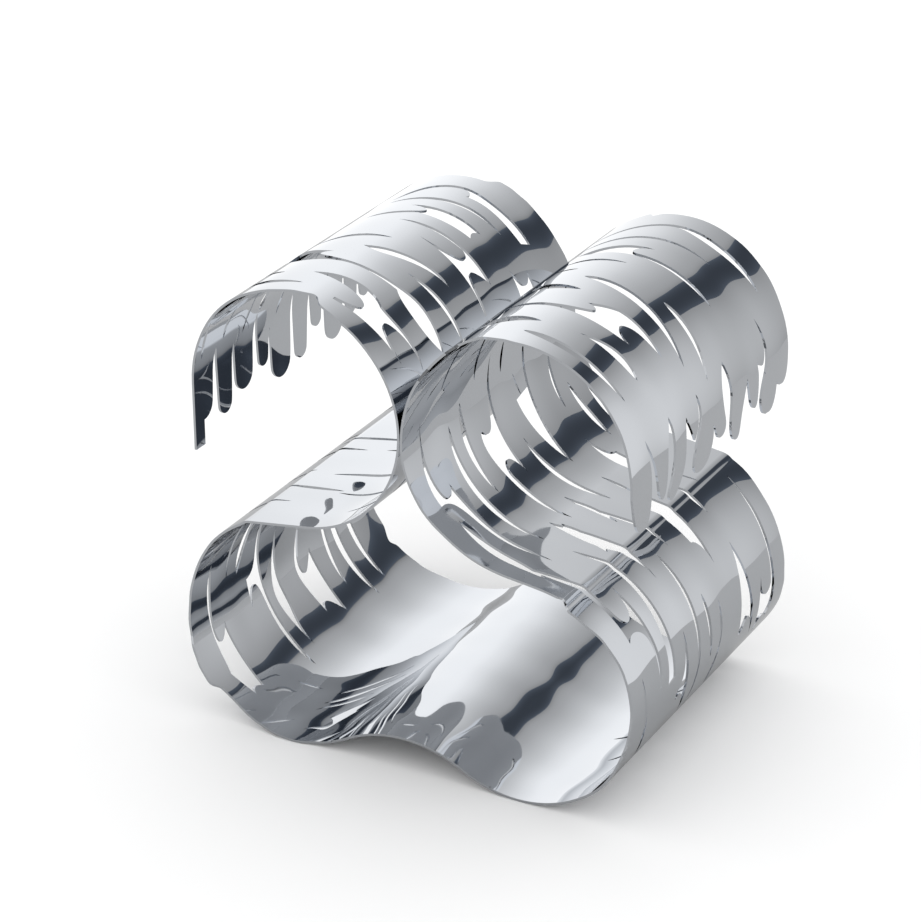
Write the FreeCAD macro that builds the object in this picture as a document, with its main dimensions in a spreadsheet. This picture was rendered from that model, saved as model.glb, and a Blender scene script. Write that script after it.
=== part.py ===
# Wine rack for four bottles: two rolled sheets of mirror steel, each an upper ring above a lower
# ring, welded together where the upper rings meet and at the crest of the bridge between the
# lower rings. Each sheet is a plain rolled blank, slashed with long bark-like slots.
# +X is to the right, +Y goes from the front edge to the back edge, +Z is up. The origin is on
# the ground, under the middle of the rack. Lengths are in millimetres, angles in degrees.
import FreeCAD, Part
import math
import os

from FreeCAD import Placement, Rotation, Vector

doc = FreeCAD.newDocument("wine_rack")

# ------------------------------------------------------------------------- driving dimensions
DIMENSIONS = {
    "sheet_thickness": 1.0,
    "ring_radius": 48.0,        # of the middle of the sheet
    "upper_centre_x": 48.65,
    "upper_centre_z": 144.5,
    "lower_centre_x": 50.3,
    "lower_centre_z": 48.5,
    "finger_drop": 29.0,        # straight end of each upper ring, below its centre
    "tread_slope": 8.5,         # of the flat stretch under each upper ring
    "step_slope": 42.0,         # of the step from the tread down to the lower ring
    "step_foot": 61.0,          # where the step lands on the lower ring, above the horizontal
    "brow_bend": 7.0,           # bend radius where the tread turns down into the step
    "foot_bend": 4.0,           # and where the step lands on the lower ring
    "bridge_flank": 60.0,       # where the bridge leaves a lower ring, below the horizontal
    "blank_depth": 156.0,       # a little more than from the foremost lobe to the rearmost
    "ring_depth": 145.0,        # between the nominal front and back edges
    "bead_radius": 1.3,
    "bead_length": 8.0,
    "bead_pitch": 82.0,         # along Y, from one weld bead to the other
    "ring_bead_drop": 5.0,      # below the line where the upper rings meet
}

sheet = doc.addObject("Spreadsheet::Sheet", "Dimensions")
for row, (alias, value) in enumerate(DIMENSIONS.items(), start=1):
    sheet.set("A%d" % row, alias)
    sheet.set("B%d" % row, str(value))
    sheet.setAlias("B%d" % row, alias)
doc.recompute()


def size(alias):
    return float(getattr(sheet, alias))


RADIUS = size("ring_radius")
THICKNESS = size("sheet_thickness")
RING_DEPTH = size("ring_depth")
FRONT_Y = -RING_DEPTH / 2


def unit(angle):
    """The direction at an angle above +X, in the plane of the profile."""
    return Vector(math.cos(math.radians(angle)), 0, math.sin(math.radians(angle)))


# ------------------------------------------------------------------------------ rolled blanks
UPPER = Vector(size("upper_centre_x"), 0, size("upper_centre_z"))
LOWER = Vector(size("lower_centre_x"), 0, size("lower_centre_z"))


def flat(point):
    """A point of the profile in the sketch's own plane."""
    return Vector(point.x, point.z, 0)


def line(start, end):
    return Part.LineSegment(flat(start), flat(end))


def arc(centre, radius, low, high):
    circle = Part.Circle(flat(centre), Vector(0, 0, 1), radius)
    return Part.ArcOfCircle(circle, math.radians(low), math.radians(high))


def crossing(point_a, along_a, point_b, along_b):
    """Where two lines in the plane of the profile meet."""
    gap = point_b - point_a
    turn = along_a.x * along_b.z - along_a.z * along_b.x
    return point_a + along_a * ((gap.x * along_b.z - gap.z * along_b.x) / turn)


def profile_lines(side):
    """The right sheet's profile, from the finger tips to the crest of the bridge.

    side is how far the line lies outside the middle of the upper ring's wall, which is also how
    far it lies inside the middle of the lower ring's wall.
    """
    outer = RADIUS + side
    inner = RADIUS - side
    brow = size("brow_bend")
    landing = size("foot_bend")
    tread = -size("tread_slope")
    riser = -size("step_slope")
    foot = size("step_foot")
    flank = size("bridge_flank")
    finger_top = UPPER + Vector(outer, 0, 0)
    finger_tip = finger_top - Vector(0, 0, size("finger_drop"))
    tread_start = UPPER + unit(tread - 90) * outer
    foot_centre = LOWER + unit(foot) * (RADIUS + landing)
    riser_foot = foot_centre - unit(riser + 90) * (landing + side)
    brow_centre = crossing(
        tread_start - unit(tread + 90) * (brow - side), unit(tread),
        riser_foot - unit(riser + 90) * (brow - side), unit(riser))
    tread_end = brow_centre + unit(tread + 90) * (brow - side)
    riser_top = brow_centre + unit(riser + 90) * (brow - side)
    bridge_reach = LOWER.x / math.cos(math.radians(flank))
    bridge_centre = LOWER - unit(flank) * bridge_reach
    return [
        line(finger_tip, finger_top),
        arc(UPPER, outer, 0, 270 + tread),
        line(tread_start, tread_end),
        arc(brow_centre, brow - side, riser + 90, tread + 90),
        line(riser_top, riser_foot),
        arc(foot_centre, landing + side, riser + 270, foot + 180),
        arc(LOWER, inner, flank - 180, foot),
        arc(bridge_centre, bridge_reach - RADIUS + side, flank, 90),
    ]


def rolled_blank():
    """The right sheet before it is slotted: its section, drawn out along Y."""
    sketch = doc.addObject("Sketcher::SketchObject", "sheet_section")
    sketch.Placement = Placement(Vector(0, 0, 0), Rotation(Vector(1, 0, 0), 90))
    outline = profile_lines(THICKNESS / 2)
    inline = profile_lines(-THICKNESS / 2)
    finger_end = Part.LineSegment(outline[0].StartPoint, inline[0].StartPoint)
    crest_end = Part.LineSegment(outline[-1].EndPoint, inline[-1].EndPoint)
    for piece in outline + inline + [finger_end, crest_end]:
        sketch.addGeometry(piece, False)
    sketch.setExpression("Placement.Base.y", "-Dimensions.blank_depth / 2")
    blank = doc.addObject("Part::Extrusion", "right_blank")
    blank.Base = sketch
    blank.Solid = True
    blank.DirMode = "Custom"
    blank.Dir = Vector(0, 1, 0)
    blank.setExpression("LengthFwd", "Dimensions.blank_depth")
    return blank


def mirrored(source, name):
    copy = doc.addObject("Part::Mirroring", name)
    copy.Source = source
    copy.Normal = Vector(1, 0, 0)
    return copy


# --------------------------------------------------------------- cutting through a ring's wall
# A ring is its centre, and +1 or -1 for the side its fingers hang on, or 0 for a lower ring.
UPPER_RIGHT = (UPPER, 1)
UPPER_LEFT = (Vector(-UPPER.x, 0, UPPER.z), -1)
LOWER_RIGHT = (LOWER, 0)
LOWER_LEFT = (Vector(-LOWER.x, 0, LOWER.z), 0)
CLEAR = 8.0                     # how far a cut starts outside the wall
UNDERCUT = 3.0                  # and how far it goes past the wall
DEGREE = math.radians(1) * RADIUS


def wall_offset(ring, angle):
    """From the ring's centre to its wall. Past the horizontal, a finger hangs straight down."""
    hand = ring[1]
    past = {1: -angle, -1: angle - 180, 0: 0}[hand]
    if hand and past > 0:
        return Vector(hand * RADIUS, 0, -past * DEGREE)
    return unit(angle) * RADIUS


def view_of(stations):
    """The direction a cut is made from: the middle of the angles that it covers."""
    angles = [angle for angle, depth in stations]
    return (min(angles) + max(angles)) / 2


def on_plane(ring, view, station):
    """A station, an angle and a depth behind the front edge, on the plane the cut starts from."""
    angle, depth = station
    along = unit(view + 90)
    across = wall_offset(ring, angle).dot(along)
    return ring[0] + unit(view) * (RADIUS + CLEAR) + along * across + Vector(0, FRONT_Y + depth, 0)


def smooth(points):
    """A curve through the points, spaced so that it turns tightly without swinging wide."""
    spacing = [0.0]
    for near, far in zip(points, points[1:]):
        spacing.append(spacing[-1] + math.sqrt(near.distanceToPoint(far)))
    curve = Part.BSplineCurve()
    curve.interpolate(Points=points, Parameters=spacing)
    return curve.toShape()


def cut_through(ring, sides, view=None):
    """A solid that cuts an outline through the wall. Each side is a list of stations."""
    stations = [station for side in sides for station in side]
    if view is None:
        view = view_of(stations)
    edges = []
    for side in sides:
        points = [on_plane(ring, view, station) for station in side]
        if len(points) == 2:
            edges.append(Part.makeLine(points[0], points[1]))
        else:
            edges.append(smooth(points))
    nearest = min(wall_offset(ring, angle).dot(unit(view)) for angle, depth in stations)
    reach = RADIUS + CLEAR - nearest + UNDERCUT
    return Part.Face(Part.Wire(edges)).extrude(unit(view) * -reach)


def blend(start, end, share):
    return start + (end - start) * share


SLIT_SHARES = (0.0, 0.08, 0.28, 0.5, 0.72, 0.92, 1.0)
SLIT_FULLNESS = 0.7             # below 1, a slit's ends are blunter than a sine's


def slit(ring, start, end, depth_start, depth_end, width, bow, belly=0.5):
    """A slot pointed at both ends, widest at belly, a share of its length.

    bow is how far its middle swings towards the back.
    """
    swell = math.log(0.5) / math.log(belly)
    front = []
    back = []
    for share in SLIT_SHARES:
        angle = blend(start, end, share)
        middle = blend(depth_start, depth_end, share) + 4 * bow * share * (1 - share)
        half = 0
        if 0 < share < 1:
            half = width / 2 * math.sin(math.pi * share ** swell) ** SLIT_FULLNESS
        front.append((angle, middle - half))
        back.append((angle, middle + half))
    return cut_through(ring, [front, back])


# ------------------------------------------------------------------------------ sheet edges
def depth_at(stations, angle):
    """The depth of an edge at an angle, eased between the stations either side."""
    ordered = sorted(stations)
    for (low, depth_low), (high, depth_high) in zip(ordered, ordered[1:]):
        if low <= angle <= high:
            share = (angle - low) / (high - low)
            return blend(depth_low, depth_high, share * share * (3 - 2 * share))
    return ordered[0][1] if angle < ordered[0][0] else ordered[-1][1]


EDGE_SPAN = 60.0                # the angle trimmed in one cut
EDGE_STEP = 3.0
LAP = 3.0                       # how far a cut runs on past its share, in degrees
LAP_EASE = 2.0                  # and how far it has eased off the edge by then
WASTE = 12.0                    # how far a trim goes past the nominal edge


def trims(ring, stations, outside):
    """Cuts that take the blank back to its ragged edge. outside is a depth off the blank."""
    first = min(stations)[0]
    last = max(stations)[0]
    count = math.ceil((last - first) / EDGE_SPAN)
    ease = math.copysign(LAP_EASE, outside)
    solids = []
    for index in range(count):
        low = blend(first, last, index / count)
        high = blend(first, last, (index + 1) / count)
        steps = math.ceil((high - low) / EDGE_STEP)
        edge = []
        for step in range(steps + 1):
            angle = blend(low, high, step / steps)
            edge.append((angle, depth_at(stations, angle)))
        low_lap = (low - LAP, edge[0][1] + ease)
        high_lap = (high + LAP, edge[-1][1] + ease)
        low_end = (low - LAP, outside)
        high_end = (high + LAP, outside)
        solids.append(cut_through(ring, [
            edge,
            [edge[-1], high_lap],
            [high_lap, high_end],
            [high_end, low_end],
            [low_end, low_lap],
            [low_lap, edge[0]],
        ]))
    return solids


TIP_ROUND = ((0.14, 0.5), (0.5, 0.86))  # shares of a tip's length and of its half width
FLANK_LEAN = 0.3                # how much of the way to the root's depth is done by halfway up
CORNER_STATIONS = 4             # a corner's share of a flank's stations, up to the shoulder


def finger_flank(finger, side, root):
    """Stations from the middle of a finger's tip, round its corner and up to the gap's root."""
    front, back, tip = finger
    middle = (front + back) / 2
    half = side * (back - front) / 2
    up = 1 if root[0] > tip else -1
    round_length = up * abs(half) / DEGREE
    shoulder = tip + round_length
    rounding = [(tip + round_length * rise, middle + half * spread) for rise, spread in TIP_ROUND]
    halfway = (blend(shoulder, root[0], 0.5), blend(middle + half, root[1], FLANK_LEAN))
    return [(tip, middle)] + rounding + [(shoulder, middle + half), halfway, root]


def gaps_between(fingers, roots):
    """The sides of each gap in a row of plain fingers."""
    gaps = []
    for before, after, root in zip(fingers, fingers[1:], roots):
        falling = finger_flank(after, -1, root)
        gaps.append([finger_flank(before, 1, root), falling[::-1]])
    return gaps


def corners_of(fingers, roots):
    """The outer flank of the first and of the last finger, each from the tip of the finger."""
    return [
        finger_flank(fingers[0], -1, roots[0])[:CORNER_STATIONS],
        finger_flank(fingers[-1], 1, roots[-1])[:CORNER_STATIONS],
    ]


def finger_gaps(ring, gaps, corners, far, outside):
    """Cuts that leave an upper ring's end as fingers. outside is a depth off the blank."""
    level = 0 if ring[1] > 0 else 180
    solids = []
    for sides in gaps:
        first = sides[0][0]
        last = sides[-1][-1]
        solids.append(cut_through(ring, sides + [
            [last, (far, last[1])],
            [(far, last[1]), (far, first[1])],
            [(far, first[1]), first],
        ], level))
    for corner, edge in zip(corners, outside):
        tip = corner[0]
        shoulder = corner[-1]
        solids.append(cut_through(ring, [
            corner,
            [shoulder, (shoulder[0], edge)],
            [(shoulder[0], edge), (far, edge)],
            [(far, edge), (far, tip[1])],
            [(far, tip[1]), tip],
        ], level))
    return solids


# ------------------------------------------------------------------------- the slot patterns
# slits: start angle, end angle, depth at the start, depth at the end, width, bow and, where it
# is not halfway, the belly
# cutouts: sides joined end to end, each a smooth line through its stations (angle, depth)
# gaps: a cutout's sides from the tip of one finger, up and back down to the tip of the next
# corners: from the tip of the first finger and of the last one to the edge of the sheet
# edges: angle and depth, joined by easy curves
UPPER_RIGHT_SLITS = [
    (94, 36, 12.9, 12, 4.2, -2, 0.4), (73, 40, 24.2, 26.2, 4.8, 1.6, 0.6),
    (142, 91, 25, 23.6, 7.0, 0.8, 0.45), (140, 92, 70, 57.8, 5.6, -1.4),
    (122, 107, 82.5, 80.3, 1.3, 0), (124, 87.5, 91, 89.7, 1.8, 0),
    (99, 31, 71.2, 57.8, 5.0, 0.4, 0.4), (60, 19, 75, 69.8, 3.4, 0.8, 0.4),
    (130, 58.5, 109, 117, 2.0, 4.5, 0.4), (140, 170, 32, 29, 2.0, 1), (150, 178, 60, 57, 2.0, -1),
    (146, 165, 76, 77, 1.6, 1), (145, 176, 108, 110, 2.0, 1), (150, 180, 133, 131, 1.6, 0),
    (230, 281, 13.2, 8.8, 4.8, 1), (191, 264, 34.6, 34.2, 3.8, -0.6, 0.45),
    (184, 231, 44.8, 44, 4.0, -0.4, 0.45), (219, 272, 78.8, 79.8, 3.6, -0.3),
    (189, 201, 88, 90.6, 1.2, 0), (192, 220, 118.3, 114.8, 2.5, -0.6),
    (211, 245, 124.8, 123.8, 3.8, 1), (217, 246, 136.3, 133.5, 3.4, 1.2),
    (254, 284, 67.6, 65, 2.8, 1.2), (259, 280, 92.6, 90, 1.8, 0.5),
    (264, 292, 48.8, 42, 3.8, 1.5), (168, 184, 80, 78.8, 1.8, 0),
]
UPPER_RIGHT_CUTOUTS = [
    [
        [(128, 43), (112, 40.2), (92, 38.2), (80, 36.9), (66, 36.3), (53, 37.6)],
        [(53, 37.6), (59, 39), (63.5, 43), (59, 46.4), (50, 47.3), (40, 48.4)],
        [(40, 48.4), (50, 50.5), (62, 52.3), (70, 52.7)],
        [(70, 52.7), (77, 50.3), (83, 47.6)],
        [(83, 47.6), (79, 46.5), (77.3, 44.6), (81, 42.6), (94, 41.2), (112, 42.4), (128, 43)],
    ],
    [
        [(113, 99.2), (100, 98.8), (80, 97.6), (60, 96.1), (44, 96.4)],
        [(44, 96.4), (60, 98.6), (80, 99.9), (89, 100.3)],
        [(89, 100.3), (92, 102.3), (90.5, 105.2), (83.5, 107.4)],
        [(83.5, 107.4), (93, 107.7), (106, 106), (122, 102)],
        [(122, 102), (113, 99.2)],
    ],
    [
        [(132, 119), (112, 126.3), (96, 131), (86, 132.6), (78, 131.2), (66, 129.2), (50, 129.4),
         (35, 130.8)],
        [(35, 130.8), (46, 132.6), (62, 133.6), (74, 134.8), (86, 134.9), (97, 132.8),
         (112, 128.4), (132, 119)],
    ],
    [
        [(179, 13.3), (192, 12.3), (205, 10.4), (220, 10.3)],
        [(220, 10.3), (220.3, 14), (223, 17.5), (230, 20.3), (245, 21.2), (277, 22)],
        [(277, 22), (260, 23.4), (240, 24), (225, 23.7), (213.5, 21.8)],
        [(213.5, 21.8), (218.3, 19.6), (218.3, 16.3), (210, 14.1), (198, 13.5), (179, 13.3)],
    ],
    [
        [(203, 55.5), (212, 53.8), (228, 54.9), (248, 55.2), (265, 56.2)],
        [(265, 56.2), (250, 57.8), (232, 58.4)],
        [(232, 58.4), (224.5, 59.5), (222, 62.2), (225, 65.2), (233, 66.8)],
        [(233, 66.8), (220, 68.1), (195, 68.7), (170, 69.4)],
        [(170, 69.4), (188, 67), (199, 65.2)],
        [(199, 65.2), (206, 61.8), (206.5, 58.8), (203, 55.5)],
    ],
    [
        [(202, 86.4), (218, 88.4), (243, 92.2)],
        [(243, 92.2), (220, 96.3), (200, 98.2), (168, 98.9)],
        [(168, 98.9), (185, 97.2), (200, 96.6)],
        [(200, 96.6), (202, 86.4)],
    ],
    [
        [(238, 110), (250, 108), (262, 106.8), (278, 107)],
        [(278, 107), (270, 112.5), (262, 114.6), (253.5, 115.2)],
        [(253.5, 115.2), (251.5, 112.3), (246, 110.9), (238, 110)],
    ],
]
UPPER_RIGHT_GAPS = [
    [
        [(-24.5, 9.5), (-22.5, 13.8), (-14, 16.2), (-3, 16.3), (8, 14.7), (17, 13.8)],
        [(17, 13.8), (10, 16.6), (1.5, 19.6), (-8, 22.3), (-14, 23.6), (-17.5, 26)],
    ],
    [
        [(-17.5, 26), (-15.5, 28.6), (-5.5, 30.4), (5, 30.5), (12, 32.4), (18.5, 34.3)],
        [(18.5, 34.3), (11, 36.4), (3, 37), (-4, 37), (-12, 35), (-18, 32.4), (-21.5, 33)],
    ],
    [
        [(-21.5, 33), (-20.5, 38.3), (-10.5, 45.4), (0.5, 46.3), (12, 47.4)],
        [(12, 47.4), (5, 50.6), (-2.5, 54.2)],
    ],
    [
        [(-2.5, 54.2), (3, 56.9), (9, 58.1), (18, 58.4)],
        [(18, 58.4), (11, 60.4), (3, 59.6), (-5, 56.6), (-12, 54.7), (-17.5, 54.6), (-20, 57)],
    ],
    [
        [(-20, 57), (-20.3, 62), (-17.5, 67.3), (-10, 71), (-3, 70.6)],
        [(-3, 70.6), (-7, 73.6), (-11, 75.4), (-12.6, 78.5)],
    ],
    [
        [(-12.6, 78.5), (-11.5, 81.7), (-8, 82.9), (0, 80.9), (9, 79.8), (16, 81.3), (22, 84.5)],
        [(22, 84.5), (12, 87.3), (3, 88.4), (-6, 88.2), (-14, 88.2), (-19, 90), (-21, 92.8)],
    ],
    [
        [(-21, 92.8), (-19.5, 95.7), (-13, 97.4), (-4.5, 99.6), (5, 102.6)],
        [(5, 102.6), (-3.5, 105), (-10, 107), (-13.4, 110)],
    ],
    [
        [(-13.4, 110), (-12.3, 112.5), (-5, 113.6), (3, 113.3), (9, 112.2)],
        [(9, 112.2), (6, 114.8), (5.2, 117.6)],
        [(5.2, 117.6), (11, 119.9), (19, 119.9), (28, 118.8)],
        [(28, 118.8), (19, 121.3), (9.5, 122.2), (2, 121), (-6, 118.2), (-14, 116.9), (-20, 119),
         (-22, 123.5)],
    ],
    [
        [(-22, 123.5), (-20.8, 128.5), (-15, 131.2), (-9.5, 131.9)],
        [(-9.5, 131.9), (-12.2, 133.4), (-13.2, 136)],
    ],
]
UPPER_RIGHT_CORNERS = [
    [(-24.5, 9.5), (-22.5, 5.2), (-14, 1.8), (-5, 0)],
    [(-13.2, 136), (-12, 140.2), (-7, 142), (-3, 142.3)],
]
UPPER_RIGHT_FRONT = [
    (-36, 0), (-5, 0), (10, -0.6), (30, 0.2), (60, 1.2), (90, 1.4), (100, 3), (105, 4.4),
    (111, 6.4), (122, 6.8), (134, 4.5), (160, 1), (195, -1), (213, -0.6), (235, 1), (255, 0.8),
    (275, 0),
]
UPPER_RIGHT_BACK = [
    (-36, 142.3), (-3, 142.3), (20, 142.4), (42, 144), (60, 145.2), (80, 146), (100, 145.6),
    (105, 143.6), (108, 146.3), (115, 145), (275, 145),
]

LOWER_RIGHT_SLITS = [
    (55, -29, 60, 60, 2.7, 0.6, 0.4), (104, 52, 66.5, 70, 2.4, 0.2, 0.6),
    (25, -9, 70.5, 72.2, 2.7, -0.3, 0.4), (73, 51, 105.8, 105, 2.5, 0),
    (75, 65, 115.8, 116.7, 1.2, 0), (15, -34, 11.6, 17.5, 2.3, -1.6), (-34, -62, 30, 34, 2.0, 1),
    (-42, -72, 57, 55, 2.2, 0), (-42, -70, 72, 75, 1.6, 1), (-36, -66, 97, 94, 2.2, 0),
    (-38, -62, 112, 109, 1.8, 1), (-40, -68, 136, 133, 1.8, 0),
]
LOWER_RIGHT_CUTOUTS = [
    [
        [(98, 10), (80, 10), (62, 10.5), (48, 11.5), (31.5, 12.3)],
        [(31.5, 12.3), (34.2, 17.5), (31, 22.6), (22, 25), (1, 25)],
        [(1, 25), (12, 27.5), (28, 27.2), (42, 26.2), (56, 25)],
        [(56, 25), (51, 24.3), (44, 22.8), (39.6, 18.8), (45, 14.6), (60, 14.2), (80, 12.6), (98, 10)],
    ],
    [
        [(82, 33.4), (70, 33.5), (50, 34.4), (28, 34), (10, 33.4), (-1.5, 32)],
        [(-1.5, 32), (0.5, 38.6)],
        [(0.5, 38.6), (18, 38.9), (40, 38.1), (62, 36.8), (82, 33.4)],
    ],
    [
        [(104, 46.5), (88, 43.8), (72, 43.6), (60, 47), (45, 49.8)],
        [(45, 49.8), (62, 50.6), (80, 50.2), (92, 49), (104, 46.5)],
    ],
    [
        [(17, 81.2), (5, 80.3), (-10, 78.6), (-22, 77.4), (-36, 82)],
        [(-36, 82), (-24, 79.4), (-10, 80.7), (5, 82.2), (17, 81.2)],
    ],
    [
        [(78, 82), (62, 82), (46, 82.6)],
        [(46, 82.6), (44.5, 85), (40, 87), (31.5, 88.2)],
        [(31.5, 88.2), (46, 89.4), (62, 90.6), (78, 91.2)],
        [(78, 91.2), (78, 82)],
    ],
    [
        [(34, 105), (20, 102.5), (5, 100.9), (-14.5, 101.6)],
        [(-14.5, 101.6), (-12, 105.5), (-7.5, 108), (-11, 111.6), (-24, 117.5)],
        [(-24, 117.5), (-10, 113.9), (5, 110.5), (20, 107.6), (34, 105)],
    ],
    [
        [(59, 133.4), (40, 130.9), (20, 129.9), (7, 130.1), (-1.5, 130.2)],
        [(-1.5, 130.2), (-5.2, 126.5), (-2.5, 122.4), (7, 120.4)],
        [(7, 120.4), (-4, 119.6), (-16, 121), (-27, 123.4)],
        [(-27, 123.4), (-20, 125.5), (-19, 129), (-23, 133.2)],
        [(-23, 133.2), (-14, 135.2), (0, 133.4), (20, 132.1), (40, 132.9), (59, 133.4)],
    ],
    [
        [(18, 49.4), (5, 47.9), (-5, 45.6), (-10.5, 41)],
        [(-10.5, 41), (-14.5, 41.8)],
        [(-14.5, 41.8), (-12.8, 45.5), (-17, 48.8), (-33, 55)],
        [(-33, 55), (-18, 52), (0, 50.5), (18, 49.4)],
    ],
]
LOWER_RIGHT_FRONT = [
    (118, 0), (80, 0.8), (66, 0), (62.5, -3.6), (54, -3.2), (40, -0.8), (24, 0.6), (5, 0.4),
    (-10, -1), (-21, -3), (-34, -2.6), (-60, 0), (-124, 0),
]
LOWER_RIGHT_BACK = [
    (118, 145), (57, 145.3), (36, 143.4), (18, 143.1), (0, 144), (-12, 146), (-24, 148),
    (-60, 146), (-124, 146),
]

UPPER_LEFT_SLITS = [
    (140, 91, 24, 14.8, 3.2, -3.4), (138, 109, 37, 26.3, 2.2, -1), (122, 83, 63.8, 71.6, 2.5, 0.3),
    (62, 18, 53.3, 56.3, 2.9, 0.8), (112, 51, 110.5, 116.5, 2.6, 3.6),
    (146, 170, 8.5, 12, 2.0, 0.5), (148, 166, 29, 27, 2.2, -1), (145, 170, 44, 42, 2.0, 1),
    (150, 163, 56, 53, 4.0, 0), (145, 172, 72, 68, 2.0, 1), (135, 165, 88, 92, 2.0, 0),
    (146, 172, 110, 108, 1.8, 1), (132, 160, 128, 124, 2.2, 1), (-12, -70, 18, 14, 2.4, 2),
    (-20, -88, 30, 33, 2.4, -1), (4, -40, 45, 43, 1.8, 1), (-48, -104, 52, 50, 2.4, 1),
    (-8, -60, 62, 66, 2.2, 0), (-30, -92, 80, 77, 2.8, 1), (6, -28, 96, 92, 2.0, 0),
    (-40, -100, 98, 100, 2.0, -1), (-15, -75, 112, 115, 2.4, 1), (-34, -86, 131, 128, 2.6, 0),
    (2, -24, 128, 124, 2.0, 0),
]
UPPER_LEFT_CUTOUTS = [
    [
        [(73, 10.5), (60, 10.6), (45, 11.6), (29, 13.3)],
        [(29, 13.3), (35, 13.6), (43, 14.8), (48.8, 18.5), (42, 22.2), (20, 24.6)],
        [(20, 24.6), (33, 25.6), (46, 24.6), (56, 25.2)],
        [(56, 25.2), (64, 28.4), (77, 29.2), (94, 26)],
        [(94, 26), (84, 24.6), (72, 22.6), (62.5, 19.6), (60.6, 16.8), (64, 14), (73, 12.4)],
        [(73, 12.4), (73, 10.5)],
    ],
    [
        [(136, 54), (125, 46), (116, 40.8), (104, 39.4), (88, 40.4), (72, 40.1), (58, 40.1)],
        [(58, 40.1), (52, 36.8), (43, 35.3), (33, 36.1), (21, 41.5)],
        [(21, 41.5), (32, 43.4), (48, 44.3), (60, 42.7), (78, 42), (94, 42.8), (104.5, 46)],
        [(104.5, 46), (104.6, 47.8), (99.5, 49.4)],
        [(99.5, 49.4), (107, 50.8), (116, 54.2), (128, 59.5)],
        [(128, 59.5), (136, 54)],
    ],
    [
        [(90, 58.7), (83, 57), (77, 57.4), (64, 61.4), (45, 66.2)],
        [(45, 66.2), (58, 66.3), (72, 63.6), (81, 61.5), (90, 58.7)],
    ],
    [
        [(75, 80.9), (62, 79.3), (45, 78.2), (18, 76.4)],
        [(18, 76.4), (28, 78.7), (38, 79.7), (45, 82.9), (42, 86.5), (34.5, 90.2)],
        [(34.5, 90.2), (52, 91.2), (74, 91.5), (92, 89.6)],
        [(92, 89.6), (72, 89.6), (56, 89.9)],
        [(56, 89.9), (51.8, 86.3), (57, 82.6), (75, 80.9)],
    ],
    [
        [(112, 92.3), (104, 94.2), (96, 96.5), (88, 99.5)],
        [(88, 99.5), (75, 99.6), (58, 100)],
        [(58, 100), (60, 103.5), (57, 107)],
        [(57, 107), (70, 108.1), (84, 107.8), (96, 106)],
        [(96, 106), (90, 105.6), (86, 104)],
        [(86, 104), (87.5, 101.8), (96, 98.6), (104, 96.2), (112, 92.3)],
    ],
    [
        [(113, 114.5), (107, 121.3), (100, 127), (90, 130.6), (82, 131.2)],
        [(82, 131.2), (78.8, 129), (79, 125.8)],
        [(79, 125.8), (66, 125.6), (52, 123.9), (42, 123.4)],
        [(42, 123.4), (39.3, 128.3)],
        [(39.3, 128.3), (52, 129.6), (68, 130.9), (82, 133.2), (94, 132.1), (104, 127.6),
         (113, 114.5)],
    ],
    [
        [(35.5, 106.3), (28, 105.8), (14, 105.5)],
        [(14, 105.5), (17, 111), (14, 117.5)],
        [(14, 117.5), (24, 117.6), (31, 116.6)],
        [(31, 116.6), (25.5, 114), (25.2, 111), (29, 108.3), (35.5, 106.3)],
    ],
]
UPPER_LEFT_FINGERS = [
    (7, 20, 202), (25, 34, 206), (37.5, 50, 200), (55, 62, 195), (65, 79, 207),
    (83.5, 92, 204), (97, 104, 193), (108, 121, 206), (125, 133, 199), (136.5, 144, 194),
]
UPPER_LEFT_ROOTS = [
    (168, 22.5), (172, 36), (164, 52), (177, 63.5), (160, 81), (170, 95), (158, 106),
    (166, 123), (174, 135),
]
UPPER_LEFT_FRONT = [
    (216, 7), (158, 7), (126, 5.6), (112, 4.6), (100, 5), (88, 6.6), (79, 7.8), (75.5, 3.6),
    (70, 1.6), (60, 0.4), (40, 0), (-22, 0), (-95, 0),
]
UPPER_LEFT_BACK = [
    (216, 144), (110, 144.5), (80, 144.8), (75, 149), (71, 149), (60, 147.7), (48, 146.6),
    (34, 146.4), (20, 147.5), (-20, 145), (-95, 145),
]

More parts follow.
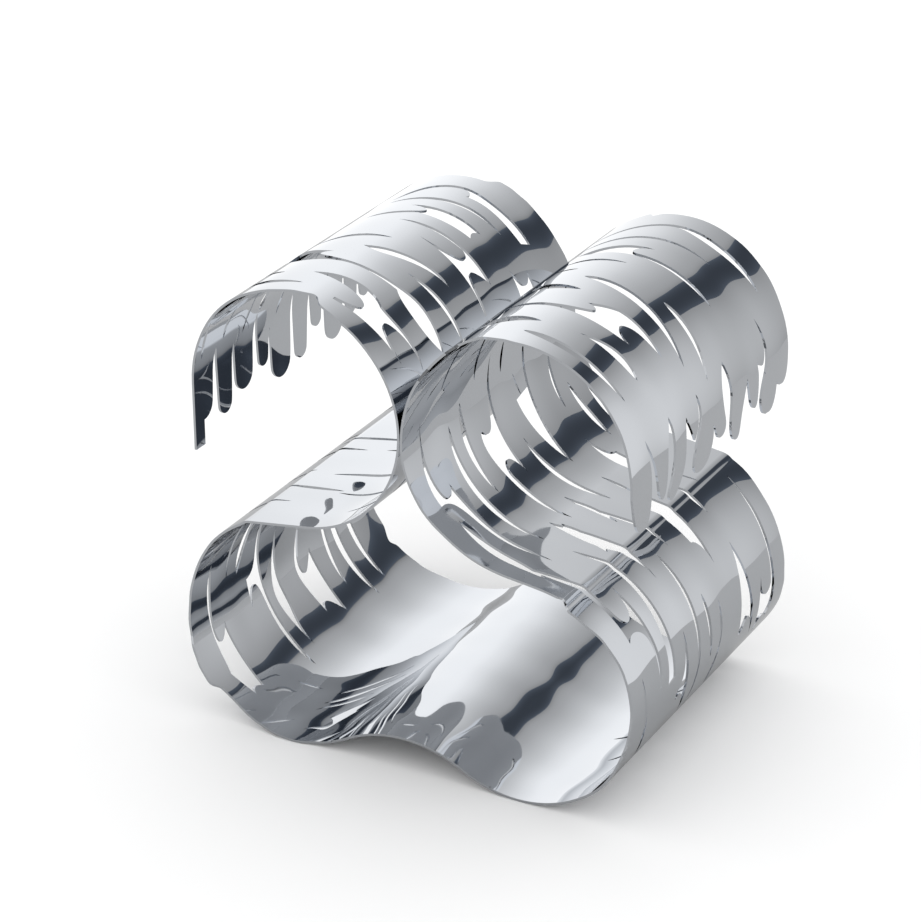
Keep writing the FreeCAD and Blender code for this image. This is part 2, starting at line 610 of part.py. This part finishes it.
LOWER_LEFT_SLITS = [
    (135, 179.5, 33, 26.7, 2.4, -0.5), (140, 181, 43, 34.6, 5.0, 0.5, 0.6),
    (165, 223.5, 103, 100.8, 3.2, 0, 0.6), (165, 238, 108, 112.2, 4.4, 0),
    (170, 233, 119, 123.2, 3.8, 0.5), (105, 142, 22, 18, 2.0, 1), (112, 138, 53, 49, 2.0, 0),
    (100, 140, 76, 73, 2.2, 1), (115, 150, 94, 96, 2.0, 0), (108, 146, 131, 128, 2.2, 1),
    (84, 120, 35, 37, 2.2, 0), (80, 125, 88, 86, 2.2, 1), (86, 118, 118, 120, 2.0, 0),
]
LOWER_LEFT_CUTOUTS = [
    [
        [(164, 13.6), (180, 12.3), (200, 11), (214, 10.4), (222, 8.9)],
        [(222, 8.9), (230, 10.8), (237.5, 12)],
        [(237.5, 12), (234.5, 14.5), (236.5, 19)],
        [(236.5, 19), (222, 20.5), (199, 20.3)],
        [(199, 20.3), (205, 17), (206.5, 13.8), (202, 12.7), (191, 13.7), (178, 14.9), (164, 13.6)],
    ],
    [
        [(150, 53), (168, 49.7), (182, 48), (188, 41.2)],
        [(188, 41.2), (196, 41), (202.5, 40.2)],
        [(202.5, 40.2), (199.5, 41.7), (195.5, 43.2), (193.2, 46), (198, 48.8), (220, 49.3), (245, 49.5)],
        [(245, 49.5), (228, 51.8), (205, 52.2), (180, 51.9), (150, 53)],
    ],
    [
        [(160, 66), (182, 62.8), (192, 59.8), (204, 57), (216, 57.6), (237, 59.1)],
        [(237, 59.1), (223, 61.2), (212, 63.2), (200, 62.8), (182, 64.5), (160, 66)],
    ],
    [
        [(170, 84), (188, 80), (200, 76), (212, 77.2), (228.5, 79.2)],
        [(228.5, 79.2), (223.7, 83), (227, 86.3), (234, 89.5)],
        [(234, 89.5), (218, 90.8), (196, 88.9)],
        [(196, 88.9), (203, 84.5), (205.6, 80.8), (201, 79.3), (188, 82), (170, 84)],
    ],
]
LOWER_LEFT_FRONT = [
    (62, 0), (137, 1), (146, 2), (160, 1.8), (176, 0.7), (191, -1.2), (203, -3.2), (211, -4),
    (219, -4), (226, 0.2), (232, 0.6), (250, -0.8), (261, -1.8), (270, -1.9), (284, -0.4),
    (304, 0),
]
LOWER_LEFT_BACK = [
    (62, 145), (160, 144), (200, 142), (212, 143.2), (220.5, 140.9), (226, 143.8), (240, 145.3),
    (257, 147.6), (280, 148), (304, 147),
]

FINGER_FAR = 40.0               # past the end of the blank, in degrees below the horizontal
OFF_FRONT = -WASTE
OFF_BACK = RING_DEPTH + WASTE


def pattern(ring, slits, cutouts, front_edge, back_edge):
    solids = [slit(ring, *row) for row in slits]
    solids += [cut_through(ring, sides) for sides in cutouts]
    solids += trims(ring, front_edge, OFF_FRONT)
    solids += trims(ring, back_edge, OFF_BACK)
    return solids


def bridge_trims(hand, back):
    """Cuts that square off the bridge between the lower rings."""
    half_width = LOWER.x / 2 + CLEAR
    height = LOWER.z / 2
    corner = min(0, hand * half_width)
    start = Vector(corner, FRONT_Y - WASTE, 0)
    front_cut = Part.makeBox(half_width, WASTE, height, start)
    back_cut = Part.makeBox(half_width, WASTE, height, Vector(corner, FRONT_Y + back, 0))
    return [front_cut, back_cut]


def right_cuts():
    solids = pattern(UPPER_RIGHT, UPPER_RIGHT_SLITS, UPPER_RIGHT_CUTOUTS,
                     UPPER_RIGHT_FRONT, UPPER_RIGHT_BACK)
    solids += pattern(LOWER_RIGHT, LOWER_RIGHT_SLITS, LOWER_RIGHT_CUTOUTS,
                      LOWER_RIGHT_FRONT, LOWER_RIGHT_BACK)
    solids += finger_gaps(UPPER_RIGHT, UPPER_RIGHT_GAPS, UPPER_RIGHT_CORNERS, -FINGER_FAR,
                          (OFF_FRONT, OFF_BACK))
    solids += bridge_trims(1, LOWER_RIGHT_BACK[-1][1])
    return solids


def left_cuts():
    solids = pattern(UPPER_LEFT, UPPER_LEFT_SLITS, UPPER_LEFT_CUTOUTS,
                     UPPER_LEFT_FRONT, UPPER_LEFT_BACK)
    solids += pattern(LOWER_LEFT, LOWER_LEFT_SLITS, LOWER_LEFT_CUTOUTS,
                      LOWER_LEFT_FRONT, LOWER_LEFT_BACK)
    gaps = gaps_between(UPPER_LEFT_FINGERS, UPPER_LEFT_ROOTS)
    corners = corners_of(UPPER_LEFT_FINGERS, UPPER_LEFT_ROOTS)
    solids += finger_gaps(UPPER_LEFT, gaps, corners, 180 + FINGER_FAR, (OFF_FRONT, OFF_BACK))
    solids += bridge_trims(-1, LOWER_LEFT_BACK[-1][1])
    return solids


BATCHES = 4                     # cuts that overlap are made one after another


def slotted(blank, solids, label):
    """A blank with its slots, fingers and ragged edges cut.

    The cuts follow free curves round the rings, which no sketch on a flat face could hold.
    """
    shape = blank.Shape
    for batch in range(BATCHES):
        shape = shape.cut(solids[batch::BATCHES])
    piece = doc.addObject("Part::Feature", label)
    piece.Shape = shape
    piece.Placement = Placement()
    piece.Label = label
    return piece


# -------------------------------------------------------------------------------- weld beads
ALONG_Y = Rotation(Vector(1, 0, 0), -90)


def rod(name, radius, length, x, y, z):
    """A cylinder along Y. Each size is an expression; y is where it starts."""
    cylinder = doc.addObject("Part::Cylinder", name)
    cylinder.Placement = Placement(Vector(0, 0, 0), ALONG_Y)
    cylinder.setExpression("Radius", radius)
    cylinder.setExpression("Height", length)
    cylinder.setExpression("Placement.Base.x", x)
    cylinder.setExpression("Placement.Base.y", y)
    cylinder.setExpression("Placement.Base.z", z)
    return cylinder


def bead_rod(name, hand, height):
    start = "%d * Dimensions.bead_pitch / 2 - Dimensions.bead_length / 2" % hand
    return rod(name, "Dimensions.bead_radius", "Dimensions.bead_length", "0", start, height)


def ring_weld(label, hand, rings):
    """A bead in the groove under the line where the upper rings meet."""
    height = "Dimensions.upper_centre_z - Dimensions.ring_bead_drop"
    bead = bead_rod(label + "_rod", hand, height)
    half = doc.addObject("Part::Cut", label + "_half")
    half.Base = bead
    half.Tool = rings[0]
    weld = doc.addObject("Part::Cut", label)
    weld.Base = half
    weld.Tool = rings[1]
    weld.Label = label
    return weld


def crest_weld(label, hand, arch):
    """A bead along the butt joint, on the underside of the crest of the bridge."""
    weld = doc.addObject("Part::MultiCommon", label)
    weld.Shapes = [bead_rod(label + "_rod", hand, CREST_UNDERSIDE), arch]
    weld.Label = label
    return weld


WHOLE_DEPTH = ("Dimensions.blank_depth", "-Dimensions.blank_depth / 2")
RING_FACE = "Dimensions.ring_radius + Dimensions.sheet_thickness / 2"
ARCH_REACH = "Dimensions.lower_centre_x / cos(Dimensions.bridge_flank * 1 deg)"
ARCH_FACE = ARCH_REACH + " - Dimensions.ring_radius - Dimensions.sheet_thickness / 2"
ARCH_CENTRE = "Dimensions.lower_centre_z - Dimensions.lower_centre_x * tan(Dimensions.bridge_flank * 1 deg)"
CREST_UNDERSIDE = ARCH_CENTRE + " + " + ARCH_FACE

right_blank = rolled_blank()
left_blank = mirrored(right_blank, "left_blank")
doc.recompute()
length, start = WHOLE_DEPTH
centre_z = "Dimensions.upper_centre_z"
rings = [
    rod("right_ring_face", RING_FACE, length, "Dimensions.upper_centre_x", start, centre_z),
    rod("left_ring_face", RING_FACE, length, "-Dimensions.upper_centre_x", start, centre_z),
]
arch = rod("arch_face", ARCH_FACE, length, "0", start, ARCH_CENTRE)
pieces = [
    slotted(left_blank, left_cuts(), "left_sheet"),
    slotted(right_blank, right_cuts(), "right_sheet"),
    ring_weld("ring_weld_front", -1, rings),
    ring_weld("ring_weld_back", 1, rings),
    crest_weld("crest_weld_front", -1, arch),
    crest_weld("crest_weld_back", 1, arch),
]
doc.recompute()

# ------------------------------------------------------------------------------------ output
for item in doc.Objects:
    if "Invalid" in item.State or "Error" in item.State:
        raise RuntimeError("%s failed: %s" % (item.Name, item.State))
for piece in pieces:
    if piece.Shape.isNull() or not piece.Shape.isValid():
        raise RuntimeError("%s has no valid shape" % piece.Label)

os.makedirs("parts", exist_ok=True)
for piece in pieces:
    piece.Shape.exportStep(os.path.join("parts", piece.Label + ".step"))
    print("%s: %.0f mm3, %d solids, %d faces, box %s" % (
        piece.Label, piece.Shape.Volume, len(piece.Shape.Solids), len(piece.Shape.Faces),
        piece.Shape.BoundBox))
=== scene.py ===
"""Wine rack of slashed mirror steel, on a pale studio floor."""

import math

import bpy
import numpy as np
from mathutils import Matrix, Vector


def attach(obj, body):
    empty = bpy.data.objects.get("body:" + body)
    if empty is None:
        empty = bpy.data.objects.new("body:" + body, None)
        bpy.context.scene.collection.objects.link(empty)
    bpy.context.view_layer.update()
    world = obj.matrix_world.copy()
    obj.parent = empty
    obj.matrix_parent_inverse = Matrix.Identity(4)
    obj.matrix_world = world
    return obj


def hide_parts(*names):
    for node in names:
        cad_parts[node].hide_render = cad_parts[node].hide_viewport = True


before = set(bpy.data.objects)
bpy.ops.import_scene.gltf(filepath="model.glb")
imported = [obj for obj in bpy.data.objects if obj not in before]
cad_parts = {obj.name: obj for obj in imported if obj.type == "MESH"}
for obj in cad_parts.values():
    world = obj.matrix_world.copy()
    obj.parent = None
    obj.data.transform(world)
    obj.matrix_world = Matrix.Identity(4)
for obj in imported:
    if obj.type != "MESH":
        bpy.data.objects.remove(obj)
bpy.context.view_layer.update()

# ------------------------------ the sheet's profile, in metres and degrees, as the CAD bends it
RADIUS = 0.048
UPPER = (0.04865, 0.1445)       # the centres of the right rings, x and z
LOWER = (0.0503, 0.0485)
FINGER_DROP = 0.029
TREAD_SLOPE = 8.5
STEP_SLOPE = 42.0
STEP_FOOT = 61.0
BROW_BEND = 0.007
FOOT_BEND = 0.004
BRIDGE_FLANK = 60.0


def unit(angle):
    return np.array([math.cos(math.radians(angle)), math.sin(math.radians(angle))])


def crossing(point_a, along_a, point_b, along_b):
    """Where two lines in the plane of the profile meet."""
    gap = point_b - point_a
    turn = along_a[0] * along_b[1] - along_a[1] * along_b[0]
    return point_a + along_a * ((gap[0] * along_b[1] - gap[1] * along_b[0]) / turn)


def profile_stretches():
    """The middle line of the right sheet, from the finger tips to the crest of the bridge.

    A line is its ends and its normal. An arc is its centre, radius, angles and the sign of its
    normal: all the normals are on one face of the sheet, outside the upper ring.
    """
    upper = np.array(UPPER)
    lower = np.array(LOWER)
    tread = -TREAD_SLOPE
    riser = -STEP_SLOPE
    tread_start = upper + unit(tread - 90) * RADIUS
    foot_centre = lower + unit(STEP_FOOT) * (RADIUS + FOOT_BEND)
    riser_foot = foot_centre - unit(riser + 90) * FOOT_BEND
    brow_centre = crossing(
        tread_start - unit(tread + 90) * BROW_BEND, unit(tread),
        riser_foot - unit(riser + 90) * BROW_BEND, unit(riser))
    tread_end = brow_centre + unit(tread + 90) * BROW_BEND
    riser_top = brow_centre + unit(riser + 90) * BROW_BEND
    reach = LOWER[0] / math.cos(math.radians(BRIDGE_FLANK))
    bridge_centre = lower - unit(BRIDGE_FLANK) * reach
    finger_top = upper + np.array([RADIUS, 0.0])
    finger_tip = finger_top - np.array([0.0, FINGER_DROP])
    return [
        ("line", finger_tip, finger_top, unit(0)),
        ("arc", upper, RADIUS, 0.0, 270.0 + tread, 1.0),
        ("line", tread_start, tread_end, unit(tread - 90)),
        ("arc", brow_centre, BROW_BEND, riser + 90, tread + 90, -1.0),
        ("line", riser_top, riser_foot, unit(riser - 90)),
        ("arc", foot_centre, FOOT_BEND, riser + 270, STEP_FOOT + 180, 1.0),
        ("arc", lower, RADIUS, BRIDGE_FLANK - 180, STEP_FOOT, -1.0),
        ("arc", bridge_centre, reach - RADIUS, BRIDGE_FLANK, 90.0, 1.0),
    ]


def nearest_on_line(points, start, end, normal):
    """How far each point is from a straight stretch, and the stretch's normal for each."""
    length = np.linalg.norm(end - start)
    along = (end - start) / length
    share = np.clip((points - start) @ along, 0, length)
    away = points - start - share[:, None] * along
    return np.linalg.norm(away, axis=1), np.tile(normal, (len(points), 1))


def nearest_on_arc(points, centre, radius, low, high, sign):
    """How far each point is from an arc, and the arc's normal nearest to each."""
    offset = points - centre
    angle = np.degrees(np.arctan2(offset[:, 1], offset[:, 0]))
    middle = (low + high) / 2
    turn = (angle - middle + 180) % 360 - 180
    held = np.radians(middle + np.clip(turn, (low - high) / 2, (high - low) / 2))
    outward = np.stack([np.cos(held), np.sin(held)], axis=1)
    return np.linalg.norm(points - centre - radius * outward, axis=1), sign * outward


STRETCHES = profile_stretches()
NEAREST = {"line": nearest_on_line, "arc": nearest_on_arc}
TIE = 1e-9                      # a later stretch wins a point only if it is nearer by this much


def wall_normals(points):
    """The wall's normal at each point (x, z) of the right sheet."""
    best = np.full(len(points), np.inf)
    normals = np.zeros((len(points), 2))
    for kind, *shape in STRETCHES:
        distance, candidate = NEAREST[kind](points, *shape)
        nearer = distance < best - TIE
        best[nearer] = distance[nearer]
        normals[nearer] = candidate[nearer]
    return normals


# -------------------------------------------------------------------------------- the sheets
ON_WALL = 0.9                   # how nearly a face's normal is the wall's, or it is a cut edge


def read_vectors(items, field):
    values = np.zeros(len(items) * 3)
    items.foreach_get(field, values)
    return values.reshape(-1, 3)


def read_integers(items, field):
    values = np.zeros(len(items), np.int32)
    items.foreach_get(field, values)
    return values


def shade_as_rolled(mesh, hand):
    """Give the rolled faces the wall's own normals, so that reflections run smooth over them.

    They take the first material. The cut edges stay flat and take the second.
    """
    points = read_vectors(mesh.vertices, "co")
    walls = wall_normals(np.stack([points[:, 0] * hand, points[:, 2]], axis=1))
    corners = read_integers(mesh.polygons, "loop_total")
    corner_face = np.repeat(np.arange(len(corners)), corners)
    wall = walls[read_integers(mesh.loops, "vertex_index")]
    wall = np.stack([wall[:, 0] * hand, np.zeros(len(wall)), wall[:, 1]], axis=1)
    facing = read_vectors(mesh.polygons, "normal")[corner_face]
    agreement = np.zeros(len(corners))
    np.add.at(agreement, corner_face, np.sum(wall * facing, axis=1))
    agreement /= corners
    rolled = np.abs(agreement) > ON_WALL
    outward = wall * np.sign(agreement)[corner_face][:, None]
    normals = np.where(rolled[corner_face][:, None], outward, facing)
    mesh.polygons.foreach_set("material_index", np.where(rolled, 0, 1).astype(np.int32))
    mesh.shade_smooth()
    mesh.normals_split_custom_set([tuple(normal) for normal in normals])


def set_materials(piece, *materials):
    piece.data.materials.clear()
    for material in materials:
        piece.data.materials.append(material)


def polished_copy(node, hand, wall_material, edge_material):
    """A copy of a CAD sheet, shaded as rolled. hand is -1 for the left sheet."""
    name = node + "_polished"
    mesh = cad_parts[node].data.copy()
    mesh.name = name
    piece = bpy.data.objects.new(name, mesh)
    bpy.context.scene.collection.objects.link(piece)
    shade_as_rolled(mesh, hand)
    set_materials(piece, wall_material, edge_material)
    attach(piece, "root")
    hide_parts(node)


# ---------------------------------------------------------------------------------- materials
NOISE_MIDDLE = (0.3, 0.7)       # a noise texture's values rarely leave this range


def new_material(name):
    material = bpy.data.materials.new(name)
    material.use_nodes = True
    material.node_tree.nodes.clear()
    return material, material.node_tree


def surface(tree, shader_output):
    output = tree.nodes.new("ShaderNodeOutputMaterial")
    tree.links.new(shader_output, output.inputs["Surface"])


def object_place(tree):
    return tree.nodes.new("ShaderNodeTexCoord").outputs["Object"]


def map_range(tree, value, span, low, high):
    """A value that goes from low to high over a span."""
    node = tree.nodes.new("ShaderNodeMapRange")
    node.inputs["From Min"].default_value = span[0]
    node.inputs["From Max"].default_value = span[1]
    node.inputs["To Min"].default_value = low
    node.inputs["To Max"].default_value = high
    tree.links.new(value, node.inputs["Value"])
    return node.outputs["Result"]


def noise(tree, place, scale, detail, output="Fac"):
    node = tree.nodes.new("ShaderNodeTexNoise")
    node.inputs["Scale"].default_value = scale
    node.inputs["Detail"].default_value = detail
    tree.links.new(place, node.inputs["Vector"])
    return node.outputs[output]


def bump(tree, height, distance, strength, normal=None):
    node = tree.nodes.new("ShaderNodeBump")
    node.inputs["Strength"].default_value = strength
    node.inputs["Distance"].default_value = distance
    tree.links.new(height, node.inputs["Height"])
    if normal is not None:
        tree.links.new(normal, node.inputs["Normal"])
    return node.outputs["Normal"]


def vector_math(tree, operation, first, second=None):
    """A vector operation. second is a socket, a vector or, to scale by, a number."""
    node = tree.nodes.new("ShaderNodeVectorMath")
    node.operation = operation
    tree.links.new(first, node.inputs[0])
    if isinstance(second, float):
        node.inputs["Scale"].default_value = second
    elif isinstance(second, tuple):
        node.inputs[1].default_value = second
    elif second is not None:
        tree.links.new(second, node.inputs[1])
    return node.outputs["Vector"]


def metal(name, colour):
    """A new metal of one colour. Its roughness and normal are still to be set."""
    material, tree = new_material(name)
    shader = tree.nodes.new("ShaderNodeBsdfPrincipled")
    shader.inputs["Base Color"].default_value = (*colour, 1)
    shader.inputs["Metallic"].default_value = 1.0
    surface(tree, shader.outputs["BSDF"])
    return material, tree, shader


STRIP_SPREAD = (12.0, 55.0, 12.0)   # long waves round a ring, short ones from strip to strip
STRIP_TILT = 0.09
NOISE_CENTRE = (0.5, 0.5, 0.5)


def strip_normals(tree, place):
    """The strips between the slots have sprung a degree or so, each its own way."""
    stretched = vector_math(tree, "MULTIPLY", place, STRIP_SPREAD)
    colour = noise(tree, stretched, scale=1.0, detail=0.0, output="Color")
    lean = vector_math(tree, "SUBTRACT", colour, NOISE_CENTRE)
    lean = vector_math(tree, "SCALE", lean, STRIP_TILT)
    normal = tree.nodes.new("ShaderNodeNewGeometry").outputs["Normal"]
    return vector_math(tree, "NORMALIZE", vector_math(tree, "ADD", normal, lean))


def mirror_steel():
    """Polished sheet: a hair of haze, sprung strips, and the waves that rolling leaves in it."""
    material, tree, shader = metal("mirror_steel", (0.60, 0.62, 0.65))
    place = object_place(tree)
    haze = noise(tree, place, scale=22.0, detail=3.0)
    roughness = map_range(tree, haze, NOISE_MIDDLE, low=0.015, high=0.04)
    tree.links.new(roughness, shader.inputs["Roughness"])
    waves = noise(tree, place, scale=28.0, detail=1.0)
    normal = bump(tree, waves, distance=0.00025, strength=1.0, normal=strip_normals(tree, place))
    tree.links.new(normal, shader.inputs["Normal"])
    return material


def cut_edge():
    """The edge that the laser leaves: satin, and finely ribbed."""
    material, tree, shader = metal("cut_edge", (0.52, 0.53, 0.55))
    shader.inputs["Roughness"].default_value = 0.42
    ribs = noise(tree, object_place(tree), scale=2500.0, detail=1.0)
    tree.links.new(bump(tree, ribs, distance=0.00004, strength=0.5), shader.inputs["Normal"])
    return material


def weld_metal():
    """A weld bead: rippled, and lightly brushed."""
    material, tree, shader = metal("weld_metal", (0.50, 0.50, 0.51))
    place = object_place(tree)
    brushed = noise(tree, place, scale=900.0, detail=3.0)
    roughness = map_range(tree, brushed, NOISE_MIDDLE, low=0.28, high=0.45)
    tree.links.new(roughness, shader.inputs["Roughness"])
    ripple = noise(tree, place, scale=700.0, detail=1.0)
    tree.links.new(bump(tree, ripple, distance=0.0001, strength=0.6), shader.inputs["Normal"])
    return material


FLOOR_TONE = 0.93
FLOOR_REFLECTED = 0.50


def floor_paint():
    """A pale matt floor that looks greyer in reflections than to the camera."""
    material, tree = new_material("floor_paint")
    shader = tree.nodes.new("ShaderNodeBsdfDiffuse")
    reflected = tree.nodes.new("ShaderNodeLightPath").outputs["Is Glossy Ray"]
    tone = map_range(tree, reflected, (0.0, 1.0), FLOOR_TONE, FLOOR_REFLECTED)
    tree.links.new(tone, shader.inputs["Color"])
    surface(tree, shader.outputs["BSDF"])
    return material


def graded(tree, axis, stops):
    """A strength that follows stops: places along an axis in metres, and strengths."""
    split = tree.nodes.new("ShaderNodeSeparateXYZ")
    tree.links.new(object_place(tree), split.inputs["Vector"])
    first = stops[0][0]
    last = stops[-1][0]
    brightest = max(level for place, level in stops)
    curve = tree.nodes.new("ShaderNodeFloatCurve")
    share = map_range(tree, split.outputs[axis], (first, last), 0.0, 1.0)
    tree.links.new(share, curve.inputs["Value"])
    line = curve.mapping.curves[0]
    for place, level in stops[1:-1]:
        line.points.new((place - first) / (last - first), level / brightest)
    line.points[0].location = (0.0, stops[0][1] / brightest)
    line.points[-1].location = (1.0, stops[-1][1] / brightest)
    curve.mapping.update()
    return map_range(tree, curve.outputs["Value"], (0.0, 1.0), 0.0, brightest)


def glow(name, axis, stops, tint):
    """A lit panel. With one stop it is lit evenly."""
    material, tree = new_material(name)
    light = tree.nodes.new("ShaderNodeEmission")
    light.inputs["Color"].default_value = (*tint, 1)
    if len(stops) == 1:
        light.inputs["Strength"].default_value = stops[0][1]
    else:
        tree.links.new(graded(tree, axis, stops), light.inputs["Strength"])
    surface(tree, light.outputs["Emission"])
    return material


# -------------------------------------------------------------------------------------- rack
steel = mirror_steel()
edge = cut_edge()
weld = weld_metal()
for node, hand in (("left_sheet", -1), ("right_sheet", 1)):
    polished_copy(node, hand, steel, edge)
for node in ("ring_weld_front", "ring_weld_back", "crest_weld_front", "crest_weld_back"):
    set_materials(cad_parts[node], weld)


# ------------------------------------------------------------------------------------ studio
def rectangle(name, corner, along, up, material):
    """A flat rectangle from a corner; along and up are its sides."""
    low = Vector(corner)
    side = Vector(along)
    rise = Vector(up)
    mesh = bpy.data.meshes.new(name)
    corners = (low, low + side, low + side + rise, low + rise)
    mesh.from_pydata([tuple(point) for point in corners], [], [(0, 1, 2, 3)])
    mesh.materials.append(material)
    piece = bpy.data.objects.new(name, mesh)
    bpy.context.scene.collection.objects.link(piece)
    return piece


def panel(name, corner, along, up, axis, stops, tint=(1, 1, 1)):
    """A panel of the light tent. It shows only in reflections."""
    piece = rectangle(name, corner, along, up, glow(name, axis, stops, tint))
    piece.visible_camera = False
    piece.visible_diffuse = False
    piece.visible_shadow = False


FLOOR_HALF = 12.0
FLOOR_DROP = 0.0002             # clear of the steel that rests on it
TENT_LEFT = -1.1
TENT_RIGHT = 0.305
TENT_FRONT = -1.5
TENT_BACK = 0.65
TENT_TOP = 1.6
DARK_LEFT = 0.14                # the dark stretch of the tent stands in its back right corner,
DARK_Y = 0.60                   # a little in front of the back panel
DARK_TINT = (0.68, 0.80, 1.0)

across = (TENT_RIGHT - TENT_LEFT, 0, 0)
deep = (0, TENT_BACK - TENT_FRONT, 0)
tall = (0, 0, TENT_TOP)

rectangle("floor", (-FLOOR_HALF, -FLOOR_HALF, -FLOOR_DROP), (2 * FLOOR_HALF, 0, 0),
          (0, 2 * FLOOR_HALF, 0), floor_paint())
panel("side_panel", (TENT_RIGHT, TENT_FRONT, 0), (0, DARK_Y - TENT_FRONT, 0), tall, "Y",
      [(-0.4, 1.10), (0.20, 1.03), (0.34, 0.76), (0.47, 0.55), (DARK_Y, 0.42)])
panel("gap", (DARK_LEFT, DARK_Y, 0), (TENT_RIGHT - DARK_LEFT, 0, 0), tall, "X",
      [(DARK_LEFT, 0.22), (0.17, 0.11), (0.25, 0.09), (TENT_RIGHT, 0.16)], DARK_TINT)
panel("back_panel", (TENT_LEFT, TENT_BACK, 0), across, tall, "X",
      [(-0.75, 0.95), (-0.44, 1.33), (-0.33, 1.20), (-0.16, 0.87), (0.02, 0.61), (0.12, 0.48),
       (0.16, 0.10)])
panel("left_panel", (TENT_LEFT, TENT_FRONT, 0), deep, tall, "Y",
      [(TENT_FRONT, 0.45), (-0.7, 1.0), (-0.1, 0.7), (0.3, 1.0), (TENT_BACK, 0.6)])
panel("top_panel", (TENT_LEFT, TENT_FRONT, TENT_TOP), across, deep, "Y", [(0, 0.9)])
panel("front_gap", (TENT_LEFT, TENT_FRONT, 0), across, tall, "X",
      [(TENT_LEFT, 0.9), (-0.5, 0.6), (-0.15, 0.2), (0.05, 0.8), (TENT_RIGHT, 0.5)])

world = bpy.data.worlds.new("studio")
bpy.context.scene.world = world
world.use_nodes = True
background = world.node_tree.nodes["Background"]
background.inputs["Color"].default_value = (1, 1, 1, 1)
background.inputs["Strength"].default_value = 1.2     # over 1, so the floor comes out white

# ------------------------------------------------------------------------------------ camera
EYE = Vector((0.5459, -1.0279, 0.6582))
AIM = Vector((-0.01325, 0.0, 0.1016))
ROLL = math.radians(-0.29)

camera = bpy.data.cameras.new("camera")
camera.sensor_width = 36.0
camera.lens = 126.15
camera.clip_start = 0.05
camera.clip_end = 50
camera_object = bpy.data.objects.new("camera", camera)
bpy.context.scene.collection.objects.link(camera_object)
forward = (AIM - EYE).normalized()
turn = forward.to_track_quat("-Z", "Y").to_matrix() @ Matrix.Rotation(ROLL, 3, "Z")
camera_object.matrix_world = Matrix.Translation(EYE) @ turn.to_4x4()
bpy.context.scene.camera = camera_object
bpy.context.scene.view_settings.view_transform = "Standard"
